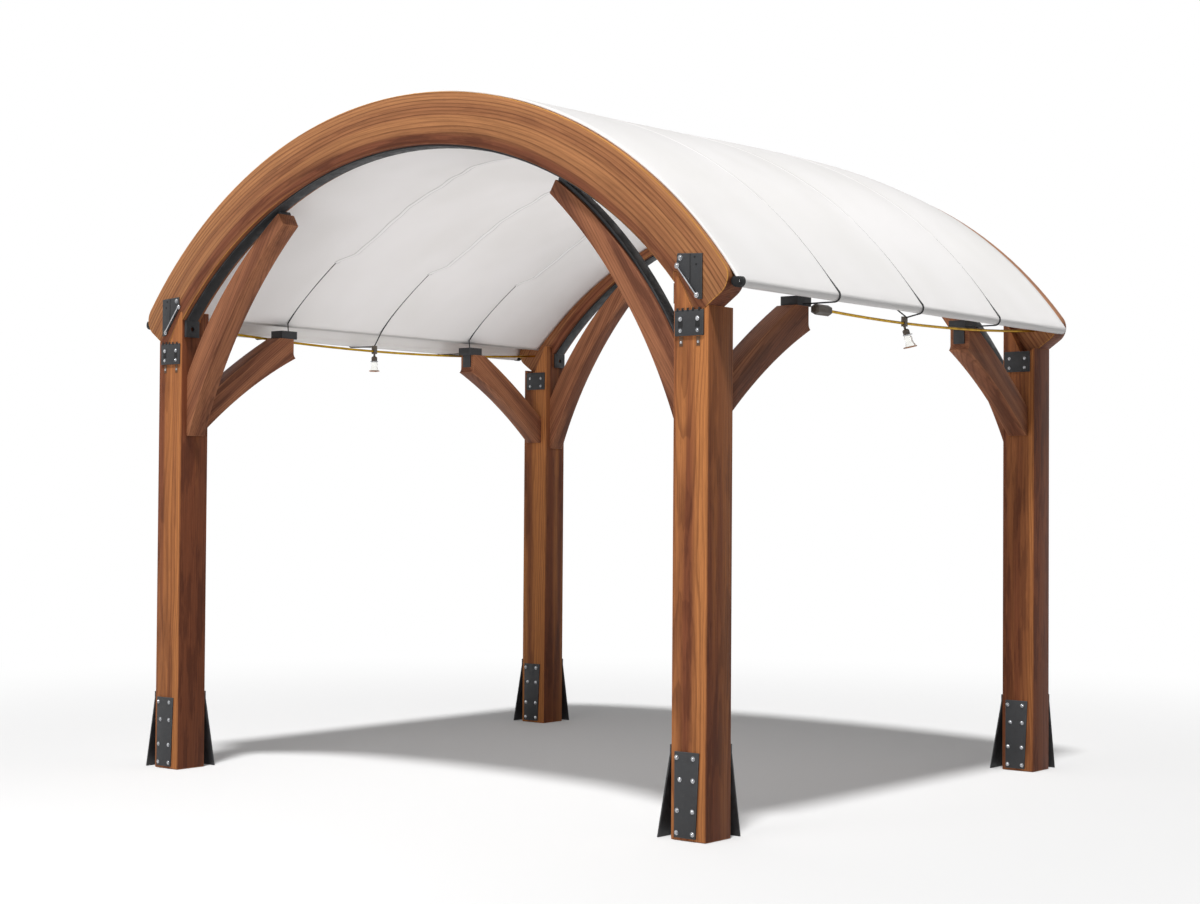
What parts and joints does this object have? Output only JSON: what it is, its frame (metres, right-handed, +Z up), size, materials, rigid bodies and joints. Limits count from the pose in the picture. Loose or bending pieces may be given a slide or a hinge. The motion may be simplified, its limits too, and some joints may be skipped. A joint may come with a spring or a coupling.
{
  "type": "garden gazebo",
  "caption": "Open timber garden gazebo: square posts, curved end arches and knee braces, with a white cloth barrel canopy.",
  "frame": {"origin": "on the ground, at the centre of the bounding box", "axes": "+Z up; the front arch faces -Y; +X to the right of someone who faces the front arch"},
  "size_m": [3.2246, 2.647, 2.8216],
  "materials": {
    "timber": "oiled, satin",
    "black_steel": "black powder coat, satin",
    "canvas": "white coated canvas, matt",
    "brass": "dull yellow brass",
    "bronze": "dark bronze, satin",
    "lamp_glass": "clear",
    "cord": "black braided cord"
  },
  "bodies": {
    "root": {"back_arch": "timber", "back_hoop_cord": "cord", "back_left_eave_brace": "timber", "back_left_eave_bracket": "black_steel", "back_left_foot_plates": "black_steel", "back_left_gable_brace": "timber", "back_left_gable_strap": "black_steel", "back_left_head_plates": "black_steel", "back_left_post": "timber", "back_right_eave_brace": "timber", "back_right_eave_bracket": "black_steel", "back_right_foot_plates": "black_steel", "back_right_gable_brace": "timber", "back_right_gable_strap": "black_steel", "back_right_head_plates": "black_steel", "back_right_post": "timber", "back_soffit_bar": "black_steel", "canopy": "canvas", "front_arch": "timber", "front_hoop_cord": "cord", "front_left_eave_brace": "timber", "front_left_eave_bracket": "black_steel", "front_left_foot_plates": "black_steel", "front_left_gable_brace": "timber", "front_left_gable_strap": "black_steel", "front_left_head_plates": "black_steel", "front_left_post": "timber", "front_right_eave_brace": "timber", "front_right_eave_bracket": "black_steel", "front_right_foot_plates": "black_steel", "front_right_gable_brace": "timber", "front_right_gable_strap": "black_steel", "front_right_head_plates": "black_steel", "front_right_post": "timber", "front_soffit_bar": "black_steel", "left_hem": "canvas", "left_lamp_glass": "lamp_glass", "left_lamp_hanger": "bronze", "left_rod": "brass", "lining": "canvas", "middle_hoop_cord": "cord", "right_hem": "canvas", "right_lamp_glass": "lamp_glass", "right_lamp_hanger": "bronze", "right_rod": "brass", "rod_tensioner": "bronze"}
  },
  "joints": []
}
